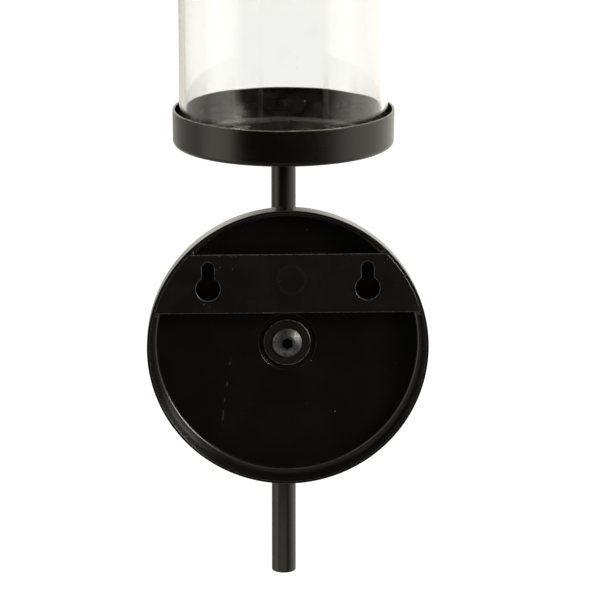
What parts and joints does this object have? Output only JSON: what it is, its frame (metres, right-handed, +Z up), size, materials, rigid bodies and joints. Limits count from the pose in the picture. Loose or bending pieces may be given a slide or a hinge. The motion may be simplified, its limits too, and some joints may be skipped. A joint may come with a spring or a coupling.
{
  "type": "wall sconce candle holder",
  "caption": "Wall-hung candle sconce: a round dish with two keyholes carries an upright stem on a short arm, with a shallow pan that holds a glass sleeve around a candle.",
  "frame": {"origin": "where the axis of the back dish meets the wall, on the plane of the dish's back rim", "axes": "+Y into the wall, so the sconce stands out towards -Y; +Z up; +X to the right when the sconce is seen from the room"},
  "size_m": [0.135, 0.118, 0.3962],
  "materials": {
    "black_sheet": "satin black paint over pressed steel sheet",
    "black_strip": "thin satin black paint, slightly greyer than the dish",
    "black_weld": "satin black paint over a weld bead",
    "black_washer": "satin black paint, rubbed bright on the edge",
    "worn_screw_steel": "bare steel with the blacking worn off",
    "black_bar": "satin black paint on round bar",
    "black_pan": "satin black paint with fine lines around the wall",
    "black_screw": "blackened steel screw",
    "clear_glass": "clear blown glass with small seed bubbles"
  },
  "bodies": {
    "wall_plate": {"wall_dish": "black_sheet", "hanging_strip": "black_strip", "strip_tacks": "black_weld", "plate_washer": "black_washer"},
    "stem_assembly": {"plate_screw": "worn_screw_steel", "standoff_arm": "black_bar", "arm_weld": "black_weld", "stem": "black_bar", "candle_pan": "black_pan", "pan_screw": "black_screw"},
    "glass": {"glass_sleeve": "clear_glass"}
  },
  "joints": [
    {"name": "stem_swivel", "type": "hinge", "parent": "wall_plate", "child": "stem_assembly", "pos_m": [0, -0.0143, 0], "axis": [0, 1, 0], "range_deg": [-15, 15]},
    {"name": "glass_lift", "type": "slide", "parent": "stem_assembly", "child": "glass", "axis": [0, 0, 1], "range_m": [0, 0.06]}
  ]
}
